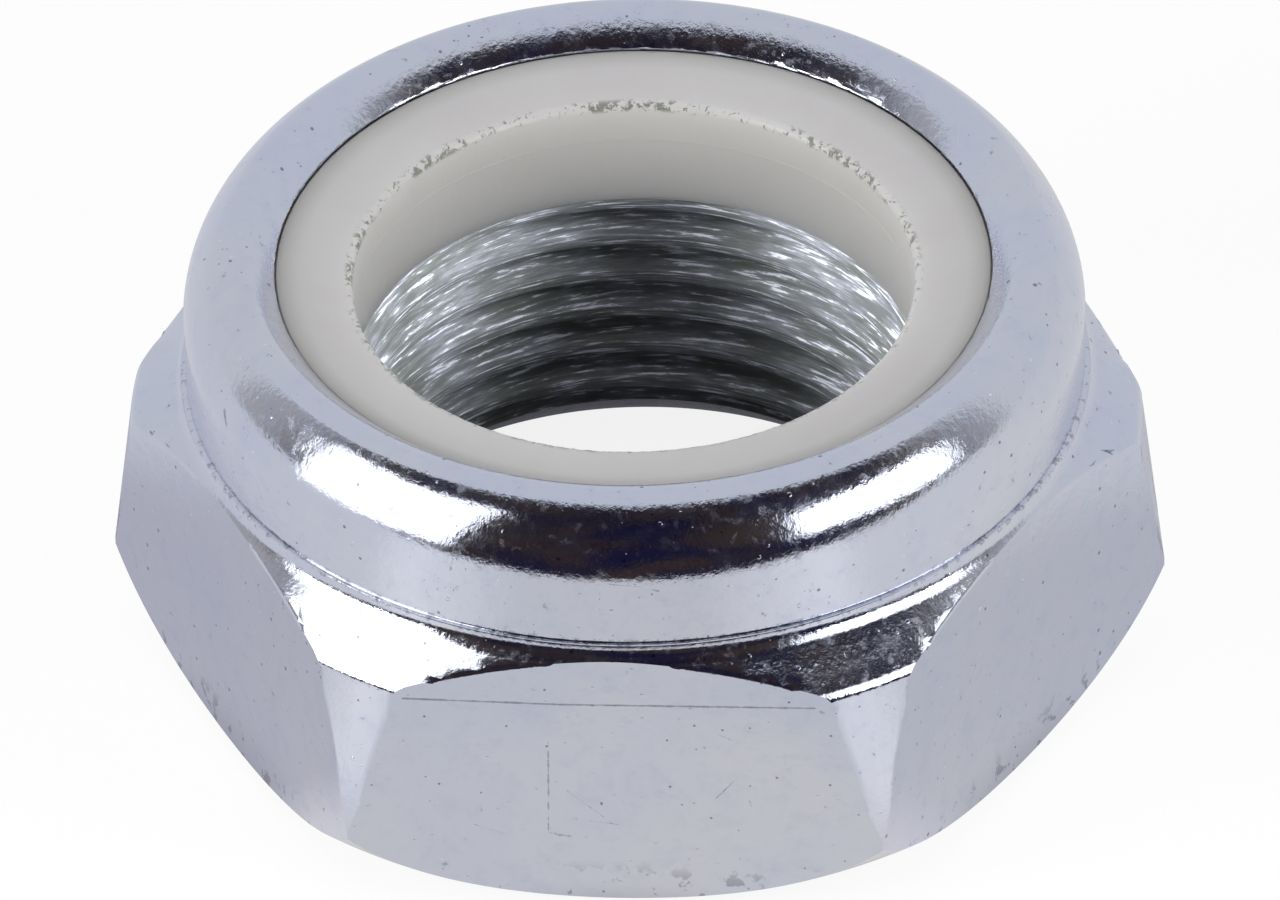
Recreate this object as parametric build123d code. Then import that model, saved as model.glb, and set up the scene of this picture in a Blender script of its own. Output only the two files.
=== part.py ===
from build123d import *
import os
from math import acos, atan2, cos, degrees, radians, sin, tan

# A thin hexagon lock nut, M20 x 1.5, 30 mm across flats, with a nylon ring
# held in a round collar.  Millimetres.  +Z runs up the thread axis, the
# bearing face lies on z = 0, and one pair of flats faces +Y and -Y.

os.makedirs("parts", exist_ok=True)

# ---- driving dimensions -------------------------------------------------
across_flats = 30.0
thread_major = 20.0
thread_pitch = 1.5

bearing_radius = 14.1        # flat ring that bears on the joint
low_corner_radius = 17.35    # where the rounded lower edge meets a corner
low_corner_height = 2.7
low_round_radius = 6.5       # rounding of the lower edge, seen in section
high_corner_radius = 16.54   # corners lean in to here at the top chamfer
high_corner_height = 8.92
high_corner_round = 0.6      # rounding where the taper meets the chamfer
top_chamfer_angle = 40.0     # measured from the bearing face

foot_radius = 0.9            # hollow rounding from the chamfer to the step
foot_sweep = 40.0
ring_step_radius = 14.835    # narrow land left at the foot of the collar
ring_step_top = 10.77
collar_radius = 14.7
shoulder_height = 12.9       # the collar wall is straight up to here
shoulder_radius = 3.23       # outside of the rolled-over shoulder
shoulder_sweep = 51.6        # degrees of shoulder before the crest begins
crest_radius = 0.85          # tight roll along the top of the lip
crest_sweep = 75.4
lip_face_radius = 4.8        # shallow rounding from the crest down to the edge
lip_face_sweep = 12.0
lip_edge_radius = 11.66      # the thin inner edge of the lip, on the nylon

recess_floor = 10.35
recess_radius = 13.3
countersink_radius = 11.2    # at the bearing face
countersink_angle = 45.0
seat_chamfer = 0.6           # thread run-out under the nylon ring

nylon_bore_radius = 9.15
nylon_edge_round = 0.28
nylon_top_inner = 14.33      # top of the ring beside its bore
nylon_dish = 0.06            # sag of the top face between bore and lip

shoulder_steps = 7           # chords in each rolled stretch of the section
crest_steps = 5
lip_face_steps = 2
corner_steps = 3
foot_steps = 3
pocket_steps = 4
edge_steps = 3

# ---- worked out ---------------------------------------------------------
thread_minor = thread_major - 1.0825 * thread_pitch
minor_radius = thread_minor / 2


def facing(turn):
    """Unit vector in the section, at an angle in degrees above the outward radius."""
    return Vector(cos(radians(turn)), sin(radians(turn)))


def roll(centre, radius, start, sweep, steps):
    """Points along a rolled stretch of the section; start and sweep in degrees."""
    turns = [start + sweep * step / steps for step in range(steps + 1)]
    return [centre + facing(turn) * radius for turn in turns]


# The corner between taper and chamfer is rounded outward, the foot of the
# chamfer is rounded inward up to the step.
chamfer_facing = 90 - top_chamfer_angle
taper_facing = degrees(
    atan2(low_corner_radius - high_corner_radius, high_corner_height - low_corner_height)
)
corner_turn = chamfer_facing - taper_facing
corner_reach = high_corner_round / cos(radians(corner_turn / 2))
corner_centre = (
    Vector(high_corner_radius, high_corner_height)
    - facing(taper_facing + corner_turn / 2) * corner_reach
)
foot_centre_radius = ring_step_radius + foot_radius * cos(radians(chamfer_facing - foot_sweep))
foot_rise = foot_radius / cos(radians(top_chamfer_angle))
foot_centre = Vector(
    foot_centre_radius,
    high_corner_height
    + (high_corner_radius - foot_centre_radius) * tan(radians(top_chamfer_angle))
    + foot_rise,
)
high_corner = roll(corner_centre, high_corner_round, taper_facing, corner_turn, corner_steps)
foot = roll(foot_centre, foot_radius, chamfer_facing + 180, -foot_sweep, foot_steps)

# The shoulder, the crest and the face of the lip run into one another
# smoothly.
roll_centre = Vector(collar_radius - shoulder_radius, shoulder_height)
crest_centre = roll_centre + facing(shoulder_sweep) * (shoulder_radius - crest_radius)
lip_face_start = shoulder_sweep + crest_sweep
lip_face_centre = crest_centre + facing(lip_face_start) * (crest_radius - lip_face_radius)
shoulder = roll(roll_centre, shoulder_radius, 0, shoulder_sweep, shoulder_steps)
crest = roll(crest_centre, crest_radius, shoulder_sweep, crest_sweep, crest_steps)
lip_face = roll(
    lip_face_centre, lip_face_radius, lip_face_start, lip_face_sweep, lip_face_steps
)

# The pocket wall turns in over the ring on an arc about the same centre as
# the shoulder, so the collar keeps one thickness as far as the lip.
pocket_round = recess_radius - roll_centre.X
pocket_sweep = degrees(acos((lip_edge_radius - roll_centre.X) / pocket_round))
pocket_wall = roll(roll_centre, pocket_round, 0, pocket_sweep, pocket_steps)
lip_underside = pocket_wall[-1]
countersink_depth = (countersink_radius - minor_radius) * tan(radians(countersink_angle))


def forged_outline():
    """Half section of the outside: lower rounding, corner taper, chamfer, collar."""
    with BuildSketch(Plane.XZ) as section:
        with BuildLine():
            Line((0, 0), (bearing_radius, 0))
            RadiusArc(
                (bearing_radius, 0),
                (low_corner_radius, low_corner_height),
                -low_round_radius,
            )
            Polyline(
                (low_corner_radius, low_corner_height),
                *high_corner,
                *foot,
                (ring_step_radius, ring_step_top),
                (collar_radius, ring_step_top),
                *shoulder,
                *crest[1:],
                *lip_face[1:],
                lip_underside,
                (0, lip_underside.Y),
                (0, 0),
            )
        make_face()
    return section.sketch


def hollow_outline():
    """Half section of the empty inside: countersink, thread bore, nylon pocket."""
    with BuildSketch(Plane.XZ) as section:
        with BuildLine():
            Polyline(
                (0, 0),
                (countersink_radius, 0),
                (minor_radius, countersink_depth),
                (minor_radius, recess_floor - seat_chamfer),
                (minor_radius + seat_chamfer, recess_floor),
                (recess_radius, recess_floor),
                *pocket_wall,
                (0, lip_underside.Y),
                (0, 0),
            )
        make_face()
    return section.sketch


def nylon_outline():
    """Half section of the ring, its outside formed by the pocket and the lip."""
    edge_centre = Vector(
        nylon_bore_radius + nylon_edge_round,
        nylon_top_inner - nylon_edge_round,
    )
    edge = roll(edge_centre, nylon_edge_round, 90, 90, edge_steps)
    dish_middle = (edge[0] + lip_underside) / 2 - Vector(0, nylon_dish)
    with BuildSketch(Plane.XZ) as section:
        with BuildLine():
            Polyline(
                *edge,
                (nylon_bore_radius, recess_floor),
                (recess_radius, recess_floor),
                *pocket_wall,
            )
            Polyline(lip_underside, dish_middle, edge[0])
        make_face()
    return section.sketch


def nut_body():
    """One cold-formed piece: hexagon below, thin round collar rolled in above."""
    outside = revolve(forged_outline(), axis=Axis.Z)
    inside = revolve(hollow_outline(), axis=Axis.Z)
    hexagon = RegularPolygon(across_flats / 2, 6, major_radius=False)
    bar = extrude(hexagon, amount=crest_centre.Y + 2 * crest_radius)
    return (outside & bar) - inside


def nylon_insert():
    """Moulded ring, pressed into the pocket and locked there by the lip."""
    return revolve(nylon_outline(), axis=Axis.Z)


pieces = {"nut_body": nut_body(), "nylon_insert": nylon_insert()}
for name, piece in pieces.items():
    solid = piece.solids()[0]
    solid.label = name
    export_step(solid, f"parts/{name}.step")
    print(name, "height", round(solid.bounding_box().max.Z, 3), "volume", round(solid.volume, 1))
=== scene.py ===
from math import cos, pi, radians, sin

import bmesh
import bpy
from mathutils import Matrix, Vector


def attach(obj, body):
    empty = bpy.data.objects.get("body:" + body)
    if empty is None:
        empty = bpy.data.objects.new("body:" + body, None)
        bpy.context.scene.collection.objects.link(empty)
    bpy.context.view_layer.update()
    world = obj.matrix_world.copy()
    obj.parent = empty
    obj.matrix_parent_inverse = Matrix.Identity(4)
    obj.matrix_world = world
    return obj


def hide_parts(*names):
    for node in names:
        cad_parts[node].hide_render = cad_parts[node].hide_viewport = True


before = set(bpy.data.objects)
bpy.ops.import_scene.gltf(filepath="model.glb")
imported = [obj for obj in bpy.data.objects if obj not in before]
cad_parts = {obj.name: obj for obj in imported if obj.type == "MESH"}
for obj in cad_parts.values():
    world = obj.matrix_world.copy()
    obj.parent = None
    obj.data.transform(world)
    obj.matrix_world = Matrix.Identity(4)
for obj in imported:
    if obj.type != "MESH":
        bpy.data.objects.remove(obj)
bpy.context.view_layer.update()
bpy.ops.object.select_all(action="DESELECT")

# ---- Forged nut body ----------------------------------------------------
# One piece of cold-formed steel, zinc plated: a hexagon below and a thin
# round collar above, whose top is rolled in over the nylon ring.  It is
# drawn in millimetres as a section, turned, cut to the hexagon and tapped.

across_flats = 30.0
bearing_radius = 14.1
thread_pitch = 1.5
thread_minor_radius = 9.188
thread_start = -2.225
thread_turns = 10
tap_bottom = -0.9
tap_top = 10.9
turning_steps = 360
weld = 0.0005
short_edge = 0.16
edge_break = 0.13
helix_steps = 144


def start_section(x, z):
    """Leave one vertex selected in edit mode at the start of a section."""
    bpy.ops.mesh.primitive_plane_add(size=1, location=(0, 0, 0))
    bpy.ops.object.mode_set(mode="EDIT")
    bpy.ops.mesh.merge(type="CENTER")
    bpy.ops.transform.translate(value=(x, 0, z))


def line_to(x, z):
    """Extrude the last vertex of the section to a new point."""
    mesh = bmesh.from_edit_mesh(bpy.context.edit_object.data)
    last = next(vertex for vertex in mesh.verts if vertex.select)
    step = (x - last.co.x, 0, z - last.co.z)
    bpy.ops.mesh.extrude_region_move(TRANSFORM_OT_translate={"value": step})


def arc_about(x, z, sweep, steps):
    """Spin the last vertex about a centre; a positive sweep turns from X to Z."""
    bpy.ops.mesh.spin(steps=steps, angle=radians(sweep), center=(x, 0, z), axis=(0, 1, 0))


def turn_section(steps):
    """Spin the closed section a full turn about the thread axis; end in object mode."""
    bpy.ops.mesh.select_all(action="SELECT")
    bpy.ops.mesh.remove_doubles(threshold=weld)
    bpy.ops.mesh.spin(steps=steps, angle=2 * pi, center=(0, 0, 0), axis=(0, 0, 1))
    bpy.ops.mesh.select_all(action="SELECT")
    bpy.ops.mesh.remove_doubles(threshold=weld)
    bpy.ops.mesh.normals_make_consistent(inside=False)
    bpy.ops.object.mode_set(mode="OBJECT")


start_section(bearing_radius, 0)
arc_about(11.797, 6.078, 37.94, 14)
line_to(16.573, 8.686)
arc_about(15.978, 8.609, 42.66, 6)
for step in range(1, 4):
    line_to(16.363 - 1.22 * step / 3, 9.069 + 1.024 * step / 3)
arc_about(15.721, 10.783, -40, 10)
for x, z in (
    (14.83, 10.73),
    (14.82, 10.755),
    (14.79, 10.775),
    (14.72, 10.79),
    (14.7, 10.81),
    (14.7, 12.9),
):
    line_to(x, z)
arc_about(11.47, 12.9, 51.6, 18)
arc_about(12.948, 14.765, 75.4, 16)
arc_about(15.336, 11.597, 12, 8)
arc_about(11.7761, 14.6917, 51, 5)
arc_about(11.47, 12.9, -83.33, 12)
for x, z in (
    (13.3, 12.7),
    (13.3, 10.35),
    (9.2, 10.35),
    (8.9, 10.1),
    (8.9, 2.3),
    (11.2, 0),
    (bearing_radius, 0),
):
    line_to(x, z)
turn_section(turning_steps)
nut = bpy.context.object
nut.name = "zinc_plated_nut"

# The six flats are those of a hexagonal bar.
bpy.ops.mesh.primitive_cylinder_add(
    vertices=6,
    radius=across_flats / 2 / cos(radians(30)),
    depth=24,
    location=(0, 0, 8),
    rotation=(0, 0, radians(30)),
)
hexagon = bpy.context.object
bpy.ops.object.transform_apply()

bpy.ops.object.select_all(action="DESELECT")
nut.select_set(True)
bpy.context.view_layer.objects.active = nut
flats = nut.modifiers.new("flats", "BOOLEAN")
flats.operation = "INTERSECT"
flats.solver = "EXACT"
flats.object = hexagon
bpy.ops.object.modifier_apply(modifier="flats")
bpy.data.objects.remove(hexagon)

flat_normals = [Vector((sin(radians(60 * n)), cos(radians(60 * n)), 0)) for n in range(6)]


def select_flat_edges(body):
    """Select the edges between the six flats and the turned surface above them, short
    of the rounded corners and of the foot of the collar."""
    bpy.ops.object.mode_set(mode="EDIT")
    bpy.ops.mesh.select_mode(type="EDGE")
    bpy.ops.mesh.select_all(action="DESELECT")
    bpy.ops.object.mode_set(mode="OBJECT")
    faces_of = {}
    for polygon in body.data.polygons:
        on_flat = any(polygon.normal.dot(normal) > 0.9999 for normal in flat_normals)
        for key in polygon.edge_keys:
            faces_of.setdefault(key, []).append((on_flat, polygon.normal.copy()))
    for edge in body.data.edges:
        sides = faces_of[edge.key]
        ends = [body.data.vertices[corner].co for corner in edge.vertices]
        rounded = any(
            end.z > 10.12 or (end.z > 8.3 and end.xy.length > 16.15) for end in ends
        )
        height = min(end.z for end in ends)
        if len(sides) == 2 and sides[0][0] != sides[1][0] and height > 4 and not rounded:
            edge.select = sides[0][1].angle(sides[1][1]) > radians(2)
    bpy.ops.object.mode_set(mode="EDIT")


select_flat_edges(nut)
bpy.ops.mesh.remove_doubles(threshold=short_edge)
bpy.ops.object.mode_set(mode="OBJECT")
select_flat_edges(nut)
bpy.ops.mesh.bevel(offset=edge_break, segments=3, profile=0.5, clamp_overlap=False)
bpy.ops.mesh.select_mode(type="VERT")
bpy.ops.object.mode_set(mode="OBJECT")

# The tap is one pitch of the thread's profile, swept up the axis and closed at
# both ends.
start_section(thread_minor_radius, thread_start)
tap = bpy.context.object
for x, z in (
    (thread_minor_radius, 0.14),
    (9.2, 0.185),
    (9.24, 0.22),
    (9.86, 0.578),
    (9.96, 0.66),
    (10.0, 0.75),
    (9.96, 0.84),
    (9.86, 0.922),
    (9.24, 1.28),
    (9.2, 1.315),
    (thread_minor_radius, 1.36),
    (thread_minor_radius, thread_pitch),
):
    line_to(x, z + thread_start)
bpy.ops.object.mode_set(mode="OBJECT")
helix = tap.modifiers.new("helix", "SCREW")
helix.axis = "Z"
helix.angle = 2 * pi
helix.screw_offset = thread_pitch
helix.iterations = thread_turns
helix.steps = helix_steps
helix.render_steps = helix_steps
helix.use_merge_vertices = True
helix.merge_threshold = weld
bpy.ops.object.modifier_apply(modifier="helix")
bpy.ops.object.mode_set(mode="EDIT")
bpy.ops.mesh.select_all(action="SELECT")
bpy.ops.mesh.remove_doubles(threshold=weld)
bpy.ops.mesh.bisect(
    plane_co=(0, 0, tap_bottom), plane_no=(0, 0, 1), use_fill=True, clear_inner=True
)
bpy.ops.mesh.select_all(action="SELECT")
bpy.ops.mesh.bisect(
    plane_co=(0, 0, tap_top), plane_no=(0, 0, 1), use_fill=True, clear_outer=True
)
bpy.ops.mesh.select_all(action="SELECT")
bpy.ops.mesh.normals_make_consistent(inside=False)
bpy.ops.object.mode_set(mode="OBJECT")

bpy.ops.object.select_all(action="DESELECT")
nut.select_set(True)
bpy.context.view_layer.objects.active = nut
threaded = nut.modifiers.new("threaded", "BOOLEAN")
threaded.operation = "DIFFERENCE"
threaded.solver = "EXACT"
threaded.object = tap
bpy.ops.object.modifier_apply(modifier="threaded")
bpy.data.objects.remove(tap)


def roughen(body, radius, height, offset, seed):
    """Move the vertices within a radius and above a height at random, in millimetres."""
    bpy.ops.object.mode_set(mode="EDIT")
    bpy.ops.mesh.select_all(action="DESELECT")
    bpy.ops.object.mode_set(mode="OBJECT")
    for vertex in body.data.vertices:
        vertex.select = vertex.co.xy.length < radius and vertex.co.z > height
    bpy.ops.object.mode_set(mode="EDIT")
    bpy.ops.transform.vertex_random(offset=offset, uniform=0, normal=0, seed=seed)
    bpy.ops.object.mode_set(mode="OBJECT")


# The thin edge of the lip was pressed unevenly on to the nylon.
roughen(nut, 11.78, 14.66, 0.014, 3)

nut.scale = (0.001, 0.001, 0.001)
bpy.ops.object.transform_apply()
bpy.ops.object.shade_smooth_by_angle(angle=radians(20))
weighted = nut.modifiers.new("weighted", "WEIGHTED_NORMAL")
weighted.keep_sharp = True
weighted.weight = 80
bpy.ops.object.modifier_apply(modifier="weighted")


def add_node(material, kind, inputs=None, **settings):
    """Add a shader node, with values for its inputs and its own settings."""
    node = material.node_tree.nodes.new(kind)
    for name, value in settings.items():
        setattr(node, name, value)
    for name, value in (inputs or {}).items():
        if isinstance(value, bpy.types.NodeSocket):
            material.node_tree.links.new(value, node.inputs[name])
        else:
            node.inputs[name].default_value = value
    return node


def noise(material, place, scale, detail=2, roughness=0.5, distortion=0):
    """Grey cloud pattern, about one feature per 1/scale metres."""
    node = add_node(
        material,
        "ShaderNodeTexNoise",
        {
            "Vector": place,
            "Scale": scale,
            "Detail": detail,
            "Roughness": roughness,
            "Distortion": distortion,
        },
    )
    return node.outputs["Fac"]


def ramp(material, value, low, high, start=0, end=1):
    """Turn low..high of a value into start..end, held at both ends."""
    node = add_node(
        material,
        "ShaderNodeMapRange",
        {"Value": value, "From Min": low, "From Max": high, "To Min": start, "To Max": end},
        interpolation_type="SMOOTHSTEP",
    )
    return node.outputs["Result"]


def calc(material, operation, first, second=0.0, third=0.0):
    """A Math node on up to three values."""
    return add_node(
        material, "ShaderNodeMath", {0: first, 1: second, 2: third}, operation=operation
    ).outputs[0]


def blend(material, factor, first, second):
    """Mix two colours by a factor."""
    node = add_node(
        material,
        "ShaderNodeMix",
        {"Factor": factor, "A": first, "B": second},
        data_type="RGBA",
    )
    return node.outputs["Result"]


def spots(material, place, scale, share, size):
    """Round spots of uneven size in a given share of the cells of a random grid."""
    cells = add_node(
        material,
        "ShaderNodeTexVoronoi",
        {"Vector": place, "Scale": scale, "Randomness": 1},
        voronoi_dimensions="3D",
    )
    chance = add_node(material, "ShaderNodeSeparateColor", {"Color": cells.outputs["Color"]})
    kept = calc(material, "LESS_THAN", chance.outputs[0], share)
    reach = calc(material, "MULTIPLY_ADD", chance.outputs[1], size, size * 0.4)
    inside = calc(material, "SUBTRACT", reach, cells.outputs["Distance"])
    shape = ramp(material, inside, 0, size * 0.4)
    return calc(material, "MULTIPLY", shape, kept)


zinc = bpy.data.materials.new("zinc_plating")
zinc.use_nodes = True
shader = zinc.node_tree.nodes["Principled BSDF"]
place = add_node(zinc, "ShaderNodeTexCoord").outputs["Object"]
tint = blend(
    zinc,
    ramp(zinc, noise(zinc, place, 140, 2), 0.35, 0.65),
    (0.645, 0.68, 0.8, 1),
    (0.68, 0.7, 0.79, 1),
)
tint = blend(
    zinc,
    ramp(zinc, noise(zinc, place, 420, 3, 0.6), 0.56, 0.72, 0, 0.3),
    tint,
    (0.585, 0.615, 0.76, 1),
)
worn = noise(zinc, place, 1300, 4, 0.65)
tint = blend(zinc, ramp(zinc, worn, 0.46, 0.72, 0, 0.3), tint, (0.56, 0.6, 0.77, 1))
pits = calc(
    zinc,
    "MAXIMUM",
    spots(zinc, place, 1050, 0.4, 0.06),
    spots(zinc, place, 2300, 0.2, 0.15),
)
stains = ramp(zinc, noise(zinc, place, 2600, 3, 0.66), 0.665, 0.74)
marks = calc(zinc, "MAXIMUM", pits, calc(zinc, "MULTIPLY", stains, 0.6))

# The angle at the foot of the collar is painted darker in specks, and the lower rim is
# bruised here and there.
height = add_node(zinc, "ShaderNodeSeparateXYZ", {"Vector": place}).outputs["Z"]
at_foot = calc(
    zinc,
    "MULTIPLY",
    ramp(zinc, height, 0.01058, 0.01074),
    ramp(zinc, height, 0.01098, 0.01084),
)
foot_specks = ramp(zinc, noise(zinc, place, 2800, 3, 0.7), 0.53, 0.6)
at_foot = calc(zinc, "MULTIPLY", at_foot, 0.65)
marks = calc(zinc, "MAXIMUM", marks, calc(zinc, "MULTIPLY", foot_specks, at_foot))
bruises = ramp(zinc, noise(zinc, place, 1500, 3, 0.6), 0.58, 0.64)
bruises = calc(zinc, "MULTIPLY", bruises, ramp(zinc, height, 0.0021, 0.0009, 0, 0.7))
marks = calc(zinc, "MAXIMUM", marks, bruises)


def scratch(material, place, wander, start, end, width, fray=1):
    """A straight mark between two points, all in millimetres, frayed by a noise."""
    first = Vector(start) / 1000
    along = Vector(end) / 1000 - first
    offset = add_node(
        material, "ShaderNodeVectorMath", {0: place, 1: first}, operation="SUBTRACT"
    ).outputs[0]
    share = add_node(
        material,
        "ShaderNodeVectorMath",
        {0: offset, 1: along / along.length_squared},
        operation="DOT_PRODUCT",
    ).outputs["Value"]
    share = add_node(material, "ShaderNodeClamp", {"Value": share}).outputs[0]
    nearest = add_node(
        material, "ShaderNodeVectorMath", {0: along, "Scale": share}, operation="SCALE"
    ).outputs[0]
    gap = add_node(
        material, "ShaderNodeVectorMath", {0: offset, 1: nearest}, operation="DISTANCE"
    ).outputs["Value"]
    frayed = calc(material, "MULTIPLY_ADD", wander, width * fray / 450, gap)
    return ramp(material, frayed, width * (fray + 0.55) / 1150, width * fray / 1150)


# A wrench or another nut has drawn a long line and some nicks on the front
# flat, and there are a few more on the collar.
wander = noise(zinc, place, 3300, 2, 0.7)
for start, end, width in (
    ((-6.72, -15, 8.57), (-1.65, -15, 8.45), 0.15),
    ((-1.65, -15, 8.45), (6.49, -15, 8.51), 0.15),
    ((-12.87, -6.88, 13.74), (-12.79, -7.16, 13.41), 0.3),
):
    line = scratch(zinc, place, wander, start, end, width, 0.25)
    marks = calc(zinc, "MAXIMUM", marks, line)
for start, end, width in (
    ((6.7, -15, 8.38), (6.8, -15, 8.32), 0.22),
    ((-2.08, -15, 6.9), (-2.14, -15, 3.11), 0.085),
    ((-2.14, -15, 3.11), (-1.43, -15, 2.96), 0.16),
    ((-1.51, -15, 4.88), (-0.07, -15, 3.55), 0.045),
    ((-0.8, -15, 3.64), (0.09, -15, 3.51), 0.06),
    ((3.28, -15, 4.67), (3.86, -15, 5.41), 0.07),
    ((3.35, -15, 7.36), (4.56, -15, 6.74), 0.06),
    ((4.36, -15, 4.6), (4.46, -15, 4.25), 0.08),
    ((-4.54, -15, 3.39), (-3.58, -15, 3.02), 0.055),
    ((-5.08, -13.76, 13.36), (-5.16, -13.76, 12.88), 0.12),
    ((-1.58, -14.57, 13.45), (-0.94, -14.62, 13.43), 0.08),
    ((0.01, -14.69, 13.18), (0.97, -14.66, 13.1), 0.07),
    ((1.3, -14.64, 12.98), (1.52, -14.62, 12.9), 0.1),
):
    line = calc(
        zinc, "MULTIPLY", scratch(zinc, place, wander, start, end, width * 1.25, 0.62), 0.7
    )
    marks = calc(zinc, "MAXIMUM", marks, line)

# Oil has dried to a brown film on the front of the shoulder.
film = scratch(zinc, place, wander, (-0.85, -14.27, 14.46), (1.2, -14.29, 14.4), 0.55)
tint = blend(zinc, calc(zinc, "MULTIPLY", film, 0.5), tint, (0.5, 0.3, 0.2, 1))
tint = blend(zinc, calc(zinc, "MULTIPLY", marks, 0.75), tint, (0.16, 0.16, 0.2, 1))

# On the chamfer the same knocks have scratched through to bright, rough metal.
bright = ramp(zinc, noise(zinc, place, 4800, 2, 0.5), 0.72, 0.8)
for start, end, width in (
    ((5.02, -13.98, 10.52), (5.14, -14.2, 10.27), 0.12),
    ((5.14, -14.2, 10.27), (5.06, -14.42, 10.03), 0.11),
    ((5.06, -14.42, 10.03), (5.21, -14.72, 9.73), 0.13),
    ((5.06, -14.42, 10.03), (4.86, -14.6, 9.88), 0.09),
    ((-5.81, -14.9, 9.3), (-5.1, -14.75, 9.75), 0.12),
    ((-5.1, -14.75, 9.75), (-4.21, -14.58, 10.11), 0.1),
    ((-10.19, -11.68, 9.83), (-9.9, -12.5, 9.4), 0.13),
    ((-9.9, -12.5, 9.4), (-9.65, -13.25, 9.05), 0.1),
    ((-9.65, -13.25, 9.05), (-9.11, -13.85, 8.64), 0.14),
    ((8.1, -12.6, 10.3), (8.7, -12.9, 9.7), 0.07),
    ((7.2, -13.3, 10.2), (7.5, -13.9, 9.5), 0.06),
):
    bright = calc(zinc, "MAXIMUM", bright, scratch(zinc, place, wander, start, end, width))
tint = blend(zinc, calc(zinc, "MULTIPLY", bright, 0.8), tint, (0.88, 0.89, 0.93, 1))
zinc.node_tree.links.new(tint, shader.inputs["Base Color"])
shader.inputs["Metallic"].default_value = 1
scuffs = ramp(zinc, worn, 0.48, 0.74, 0.12, 0.2)
scuffs = calc(zinc, "MULTIPLY_ADD", bright, 0.4, scuffs)
dulled = ramp(zinc, noise(zinc, place, 2500, 2, 0.6), 0.57, 0.68, 0, 0.1)
scuffs = calc(zinc, "ADD", scuffs, dulled)
zinc.node_tree.links.new(scuffs, shader.inputs["Roughness"])
grain = calc(zinc, "MULTIPLY", noise(zinc, place, 5200, 3, 0.6), 1e-5)
waves = calc(zinc, "MULTIPLY_ADD", noise(zinc, place, 900, 3), 1.1e-5, grain)
crystals = spots(zinc, place, 3200, 0.1, 0.2)
waves = calc(zinc, "MULTIPLY_ADD", crystals, 6e-6, waves)
bump = add_node(zinc, "ShaderNodeBump", {"Height": waves, "Strength": 1, "Distance": 1})
zinc.node_tree.links.new(bump.outputs["Normal"], shader.inputs["Normal"])
nut.data.materials.append(zinc)

# The tapped thread keeps the tap's fine marks, which run round the bore and
# spread a highlight up and down it, under a thin, oily film of zinc.
thread = bpy.data.materials.new("tapped_thread")
thread.use_nodes = True
shader = thread.node_tree.nodes["Principled BSDF"]
place = add_node(thread, "ShaderNodeTexCoord").outputs["Object"]
drawn = add_node(thread, "ShaderNodeMapping", {"Vector": place, "Scale": (620, 620, 13000)})
streaks = noise(thread, drawn.outputs["Vector"], 1, 4, 0.65)
film = ramp(thread, noise(thread, place, 500, 2), 0.35, 0.68)
tint = blend(thread, film, (0.2, 0.215, 0.215, 1), (0.3, 0.315, 0.36, 1))
tint = blend(thread, ramp(thread, streaks, 0.4, 0.56, 0.6, 0), tint, (0.1, 0.11, 0.1, 1))
# Painted glints: the brightest streaks of the tap's marks are painted near white.
painted_glints = ramp(thread, streaks, 0.56, 0.63)
tint = blend(thread, painted_glints, tint, (0.8, 0.83, 0.93, 1))
thread.node_tree.links.new(tint, shader.inputs["Base Color"])
shader.inputs["Metallic"].default_value = 0.5
shader.inputs["Specular IOR Level"].default_value = 0.3
dullness = ramp(thread, streaks, 0.3, 0.7, 0.5, 0.32)
thread.node_tree.links.new(dullness, shader.inputs["Roughness"])
shader.inputs["Anisotropic"].default_value = 0.85
shader.inputs["Anisotropic Rotation"].default_value = 0.25
around = add_node(thread, "ShaderNodeTangent", direction_type="RADIAL", axis="Z")
thread.node_tree.links.new(around.outputs["Tangent"], shader.inputs["Tangent"])
relief = calc(
    thread,
    "MULTIPLY_ADD",
    streaks,
    1.2e-5,
    calc(thread, "MULTIPLY", noise(thread, place, 4200, 3, 0.6), 5e-6),
)
bump = add_node(thread, "ShaderNodeBump", {"Height": relief, "Strength": 1, "Distance": 1})
thread.node_tree.links.new(bump.outputs["Normal"], shader.inputs["Normal"])
nut.data.materials.append(thread)

threaded_radius = 0.01003
threaded_from = 0.001
threaded_to = 0.01034
for polygon in nut.data.polygons:
    middle = polygon.center
    if middle.xy.length < threaded_radius and threaded_from < middle.z < threaded_to:
        polygon.material_index = 1

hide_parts("nut_body")
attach(nut, "root")

# ---- Nylon ring ---------------------------------------------------------
# A moulded ring of undyed nylon, pressed into the pocket before the lip is
# rolled in over it.  Its bore is smooth and grips the thread of the screw.

nylon_bore_radius = 9.15
moulding_line_radius = 9.137
ring_steps = 480

start_section(nylon_bore_radius, 10.41)
for x, z in (
    (nylon_bore_radius, 12.8),
    (nylon_bore_radius, 12.84),
    (moulding_line_radius, 12.87),
    (nylon_bore_radius, 12.9),
    (nylon_bore_radius, 12.94),
    (nylon_bore_radius, 14.05),
):
    line_to(x, z)
arc_about(9.43, 14.05, -90, 8)
arc_about(8.74, 24.506, 11.34, 12)
for x, z in (
    (11.54, 14.678),
    (11.6, 14.668),
    (11.635, 14.63),
    (11.645, 14.5),
    (12.4, 14.36),
    (12.9, 13.93),
    (13.17, 13.3),
    (13.23, 12.9),
    (13.28, 12.6),
    (13.28, 10.36),
    (9.2, 10.36),
    (nylon_bore_radius, 10.41),
):
    line_to(x, z)
turn_section(ring_steps)
nylon = bpy.context.object
nylon.name = "nylon_ring"

# The bore's upper edge is slightly torn where a screw has been run through.
roughen(nylon, 9.36, 14.1, 0.02, 7)
nylon.scale = (0.001, 0.001, 0.001)
bpy.ops.object.transform_apply()
bpy.ops.object.shade_smooth_by_angle(angle=radians(35))

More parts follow.
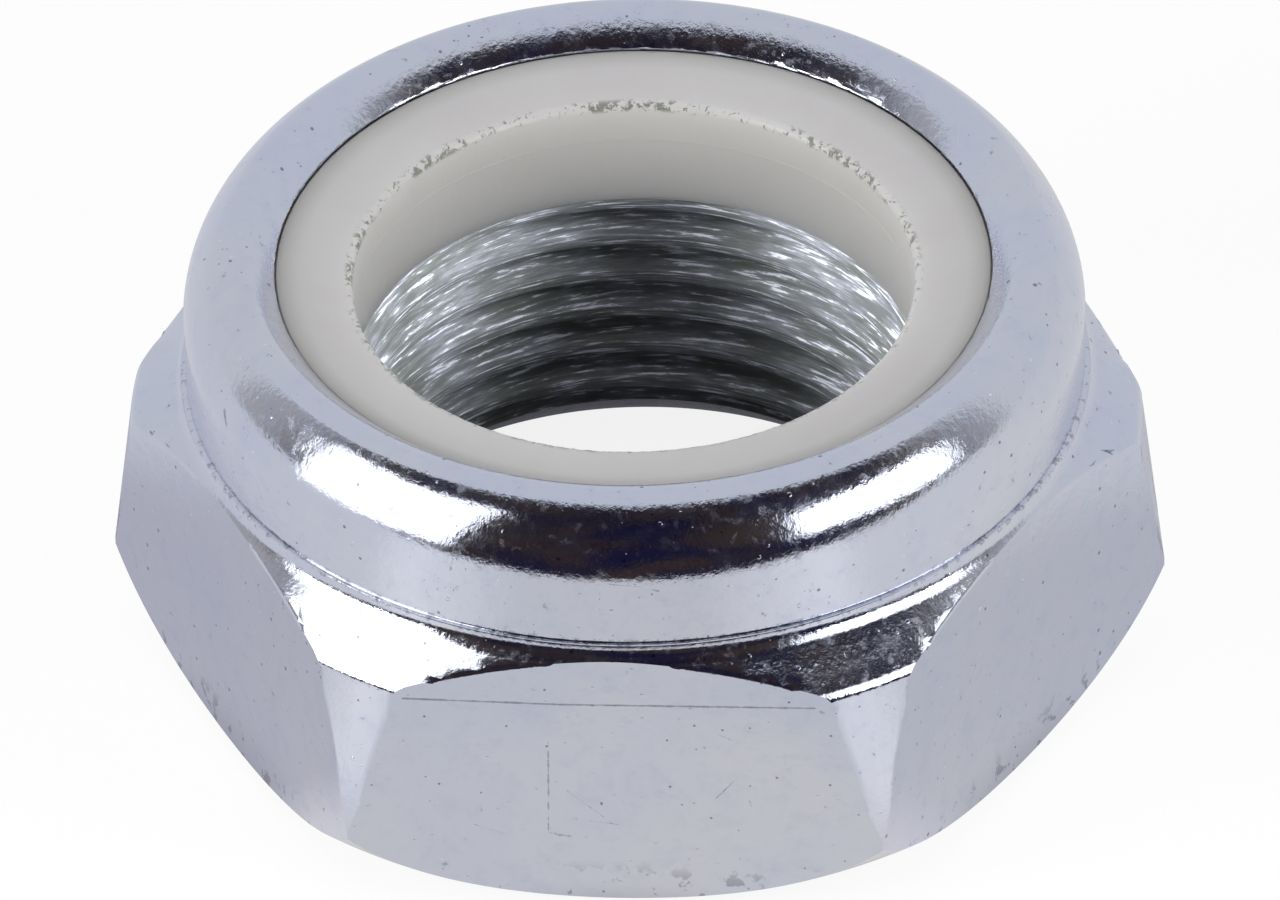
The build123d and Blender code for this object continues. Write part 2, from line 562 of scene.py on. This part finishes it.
natural_nylon = bpy.data.materials.new("natural_nylon")
natural_nylon.use_nodes = True
shader = natural_nylon.node_tree.nodes["Principled BSDF"]
place = add_node(natural_nylon, "ShaderNodeTexCoord").outputs["Object"]
axes = add_node(natural_nylon, "ShaderNodeSeparateXYZ", {"Vector": place})
across = add_node(
    natural_nylon, "ShaderNodeCombineXYZ", {"X": axes.outputs["X"], "Y": axes.outputs["Y"]}
)
radius = add_node(
    natural_nylon, "ShaderNodeVectorMath", {0: across.outputs[0]}, operation="LENGTH"
).outputs["Value"]
tint = blend(
    natural_nylon,
    ramp(natural_nylon, noise(natural_nylon, place, 260, 3), 0.35, 0.65),
    (0.77, 0.753, 0.757, 1),
    (0.795, 0.783, 0.782, 1),
)
in_bore = ramp(natural_nylon, radius, 0.0093, 0.00916, 0, 0.8)
tint = blend(natural_nylon, in_bore, tint, (0.765, 0.757, 0.722, 1))
# Painted shade: the nylon is painted darker beside the lip, and a thin dark line is painted in
# the crevice under its edge.
painted_lip_shade = ramp(natural_nylon, radius, 0.0108, 0.01155, 0, 0.5)
tint = blend(natural_nylon, painted_lip_shade, tint, (0.54, 0.53, 0.49, 1))
painted_crevice_shade = ramp(natural_nylon, radius, 0.01159, 0.01164, 0, 0.45)
tint = blend(natural_nylon, painted_crevice_shade, tint, (0.06, 0.07, 0.06, 1))
at_edge = calc(
    natural_nylon,
    "MULTIPLY",
    ramp(natural_nylon, radius, 0.0095, 0.00925),
    ramp(natural_nylon, axes.outputs["Z"], 0.01395, 0.01415),
)
patchy = ramp(natural_nylon, noise(natural_nylon, place, 420, 2), 0.38, 0.62, -0.06, 0.05)
shreds = calc(natural_nylon, "ADD", noise(natural_nylon, place, 3600, 4, 0.75, 0.6), patchy)
torn = ramp(natural_nylon, shreds, 0.52, 0.575)
torn = calc(natural_nylon, "MULTIPLY", torn, at_edge)
dust = spots(natural_nylon, place, 700, 0.07, 0.07)
dirt = calc(natural_nylon, "MAXIMUM", calc(natural_nylon, "MULTIPLY", torn, 0.85), dust)
tint = blend(natural_nylon, dirt, tint, (0.2, 0.21, 0.17, 1))
natural_nylon.node_tree.links.new(tint, shader.inputs["Base Color"])
gloss = ramp(natural_nylon, noise(natural_nylon, place, 900, 4), 0.3, 0.7, 0.33, 0.5)
natural_nylon.node_tree.links.new(gloss, shader.inputs["Roughness"])
shader.inputs["Subsurface Weight"].default_value = 0.6
shader.inputs["Subsurface Radius"].default_value = (1, 0.95, 0.85)
shader.inputs["Subsurface Scale"].default_value = 0.0025
grain = calc(natural_nylon, "MULTIPLY", noise(natural_nylon, place, 3200, 3), 9e-6)
bump = add_node(
    natural_nylon, "ShaderNodeBump", {"Height": grain, "Strength": 1, "Distance": 1}
)
natural_nylon.node_tree.links.new(bump.outputs["Normal"], shader.inputs["Normal"])
nylon.data.materials.append(natural_nylon)

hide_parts("nylon_insert")
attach(nylon, "root")

# ---- Floor, room and lamps ----------------------------------------------
# White paper under the nut, a plain pale room, a small glowing card on the left
# and on the right, close to the collar, and a large dark screen in front.  The
# camera sees neither the cards nor the screen.
bpy.ops.mesh.primitive_plane_add(size=2, location=(0, 0.955, 0))
floor = bpy.context.object
bpy.ops.object.transform_apply()
floor.name = "floor"
paper = bpy.data.materials.new("white_paper")
paper.use_nodes = True
matt = paper.node_tree.nodes["Principled BSDF"]
matt.inputs["Base Color"].default_value = (0.9, 0.9, 0.9, 1)
matt.inputs["Roughness"].default_value = 0.9
light_path = add_node(paper, "ShaderNodeLightPath")
glow = add_node(paper, "ShaderNodeEmission", {"Color": (1, 1, 1, 1), "Strength": 1.08})
seen = add_node(paper, "ShaderNodeMixShader", {0: 0.8, 1: matt.outputs[0], 2: glow.outputs[0]})
for_camera = add_node(
    paper,
    "ShaderNodeMixShader",
    {0: light_path.outputs["Is Camera Ray"], 1: matt.outputs[0], 2: seen.outputs[0]},
)

# In the plating the paper shows painted tones that glow for reflections only: painted light,
# brighter to the left and right of the front, and a painted shadow close to the nut and under
# it.
place = add_node(paper, "ShaderNodeTexCoord").outputs["Object"]
axes = add_node(paper, "ShaderNodeSeparateXYZ", {"Vector": place})
forward = calc(paper, "MULTIPLY", axes.outputs["Y"], -1)
azimuth = calc(paper, "ARCTAN2", axes.outputs["X"], forward)
turn = calc(paper, "MULTIPLY_ADD", azimuth, 0.5 / pi, 0.5)


def tones_round(material, turn, stops):
    """Colours at given azimuths in degrees, from the back over the left round again."""
    wheel = add_node(material, "ShaderNodeValToRGB", {"Fac": turn})
    colours = wheel.color_ramp.elements
    colours[0].position = 0
    colours[0].color = stops[0][1]
    colours[1].position = 1
    colours[1].color = stops[-1][1]
    for degree, colour in stops:
        colours.new(degree / 360 + 0.5).color = colour
    return wheel.outputs["Color"]


painted_near_tones = tones_round(
    paper,
    turn,
    (
        (-120, (0.52, 0.515, 0.575, 1)),
        (-75, (0.55, 0.545, 0.59, 1)),
        (-52, (0.59, 0.58, 0.61, 1)),
        (-43, (0.82, 0.79, 0.79, 1)),
        (-33, (0.78, 0.76, 0.74, 1)),
        (-24, (0.75, 0.735, 0.71, 1)),
        (24, (0.76, 0.745, 0.72, 1)),
        (32, (0.78, 0.76, 0.74, 1)),
        (41, (0.82, 0.79, 0.79, 1)),
        (51, (0.66, 0.655, 0.66, 1)),
        (75, (0.61, 0.61, 0.63, 1)),
        (120, (0.57, 0.575, 0.61, 1)),
    ),
)
painted_far_tones = tones_round(
    paper,
    turn,
    (
        (-120, (0.7, 0.71, 0.74, 1)),
        (-75, (0.72, 0.73, 0.76, 1)),
        (-52, (0.75, 0.755, 0.775, 1)),
        (-43, (0.98, 0.97, 0.96, 1)),
        (-20, (0.71, 0.71, 0.71, 1)),
        (15, (0.7, 0.7, 0.7, 1)),
        (41, (0.98, 0.96, 0.94, 1)),
        (50, (0.81, 0.8, 0.79, 1)),
        (75, (0.79, 0.78, 0.77, 1)),
        (120, (0.72, 0.72, 0.73, 1)),
    ),
)
reach = add_node(paper, "ShaderNodeVectorMath", {0: place}, operation="LENGTH")
painted_shadow = calc(
    paper,
    "MULTIPLY",
    ramp(paper, reach.outputs["Value"], 0.0105, 0.0135, 0.15, 1),
    ramp(paper, reach.outputs["Value"], 0.0143, 0.0166, 0.7, 1),
)
tone = blend(paper, ramp(paper, reach.outputs["Value"], 0.0225, 0.0265), painted_near_tones, painted_far_tones)
painted_floor_glow = add_node(paper, "ShaderNodeEmission", {"Color": tone, "Strength": painted_shadow})
for_gloss = add_node(
    paper,
    "ShaderNodeMixShader",
    {0: light_path.outputs["Is Glossy Ray"], 1: for_camera.outputs[0], 2: painted_floor_glow.outputs[0]},
)
output = paper.node_tree.nodes["Material Output"]
paper.node_tree.links.new(for_gloss.outputs[0], output.inputs["Surface"])
floor.data.materials.append(paper)

room = bpy.data.worlds.new("room")
bpy.context.scene.world = room
room.use_nodes = True
light_path = add_node(room, "ShaderNodeLightPath")
level = ramp(room, light_path.outputs["Is Glossy Ray"], 0, 1, 0.55, 0.72)
back = room.node_tree.nodes["Background"]
room.node_tree.links.new(level, back.inputs["Strength"])
hue = blend(room, light_path.outputs["Is Glossy Ray"], (1, 1, 1, 1), (0.95, 0.97, 1, 1))
room.node_tree.links.new(hue, back.inputs["Color"])

lamp_distance = 0.2


def add_lamp(azimuth, rise, width, height, brightness):
    """An area lamp aimed at the nut, its azimuth (0 is in front, 90 on the right) and
    rise in degrees and its size in metres."""
    turn = radians(azimuth)
    rise = radians(rise)
    aim = Vector((sin(turn) * cos(rise), -cos(turn) * cos(rise), sin(rise)))
    bpy.ops.object.light_add(type="AREA", location=aim * lamp_distance)
    lamp = bpy.context.object
    lamp.rotation_euler = aim.to_track_quat("Z", "Y").to_euler()
    lamp.data.shape = "RECTANGLE"
    lamp.data.size = width
    lamp.data.size_y = height
    lamp.data.energy = brightness * pi * width * height
    return lamp


# A lamp behind each glowing card lights the nylon and the bore from its side.
add_lamp(-61, 20, 0.115, 0.115, 5.8)
add_lamp(61, 20, 0.115, 0.08, 5.8)

# Two lamps higher up shine across into the bore.  They light the nut alone, and
# don't show in its plating.
bore_only = bpy.data.collections.new("lit_by_bore_lamps")
bore_only.objects.link(nut)
for azimuth in (-80, 80):
    lamp = add_lamp(azimuth, 31, 0.08, 0.08, 75)
    lamp.visible_glossy = False
    lamp.light_linking.receiver_collection = bore_only


def screen(name, start, end, low, high, distance, tone, strength):
    """An upright card curved round the nut between two azimuths (0 is in front, 90 on
    the right), glowing with the given strength; the camera doesn't see it."""
    turn = radians(start)
    bpy.ops.mesh.primitive_plane_add(size=1, location=(0, 0, 0))
    card = bpy.context.object
    card.name = name
    bpy.ops.object.mode_set(mode="EDIT")
    bpy.ops.mesh.merge(type="CENTER")
    bpy.ops.transform.translate(value=(distance * sin(turn), -distance * cos(turn), low))
    bpy.ops.mesh.extrude_region_move(TRANSFORM_OT_translate={"value": (0, 0, high - low)})
    bpy.ops.mesh.select_all(action="SELECT")
    bpy.ops.mesh.spin(steps=36, angle=-radians(end - start), center=(0, 0, 0), axis=(0, 0, 1))
    bpy.ops.object.mode_set(mode="OBJECT")
    cloth = bpy.data.materials.new(name + "_cloth")
    cloth.use_nodes = True
    surface = cloth.node_tree.nodes["Principled BSDF"]
    surface.inputs["Base Color"].default_value = tone
    surface.inputs["Roughness"].default_value = 1
    surface.inputs["Specular IOR Level"].default_value = 0
    surface.inputs["Emission Color"].default_value = (1, 1, 1, 1)
    surface.inputs["Emission Strength"].default_value = strength
    card.data.materials.append(cloth)
    card.visible_camera = False
    card.visible_shadow = False
    return card


# The dark screen glows faintly grey towards its two ends.
card = screen("dark_screen", -104, 98, -0.2, 0.51, 0.25, (0.034, 0.03, 0.056, 1), 0)
bpy.ops.object.mode_set(mode="EDIT")
bpy.ops.mesh.select_all(action="SELECT")
bpy.ops.mesh.bisect(plane_co=(0, -0.25, 0.5), plane_no=(0, 1.3, 1), clear_outer=True)
bpy.ops.object.mode_set(mode="OBJECT")
cloth = card.data.materials[0]
place = add_node(cloth, "ShaderNodeTexCoord").outputs["Object"]
axes = add_node(cloth, "ShaderNodeSeparateXYZ", {"Vector": place})
fade = ramp(cloth, axes.outputs["Y"], -0.075, 0.03, 0, 0.42)
surface = cloth.node_tree.nodes["Principled BSDF"]
cloth.node_tree.links.new(fade, surface.inputs["Emission Strength"])
folds = ramp(cloth, noise(cloth, place, 13, 3, 0.6), 0.4, 0.6)
folds = blend(cloth, folds, (0.075, 0.05, 0.04, 1), (0.016, 0.016, 0.06, 1))
cloth.node_tree.links.new(folds, surface.inputs["Base Color"])

screen("left_box", -57, -20, 0.0125, 0.022, 0.021, (0, 0, 0, 1), 2)
bpy.ops.object.mode_set(mode="EDIT")
bpy.ops.mesh.select_all(action="SELECT")
bpy.ops.mesh.bisect(plane_co=(-0.0075, 0, 0.022), plane_no=(1, 0, -0.245), clear_outer=True)
bpy.ops.object.mode_set(mode="OBJECT")
screen("right_box", 33, 69, 0.0145, 0.0235, 0.031, (0, 0, 0, 1), 2)

# ---- Camera -------------------------------------------------------------
# A long lens, a little to the right of the front and well above the nut, held
# about a degree off level.
view_azimuth = radians(3.67)
view_elevation = radians(38.36)
view_roll = -0.0199
view_distance = 0.52498
look_at = Vector((0.000097, 0.000006, 0.007018))
turn = (
    Matrix.Rotation(view_azimuth, 3, "Z")
    @ Matrix.Rotation(pi / 2 - view_elevation, 3, "X")
    @ Matrix.Rotation(view_roll, 3, "Z")
)
bpy.ops.object.camera_add(location=look_at + turn @ Vector((0, 0, view_distance)))
camera = bpy.context.object
camera.rotation_euler = turn.to_euler()
camera.data.lens = 450
camera.data.sensor_width = 36
bpy.context.scene.camera = camera
bpy.context.scene.view_settings.view_transform = "Standard"
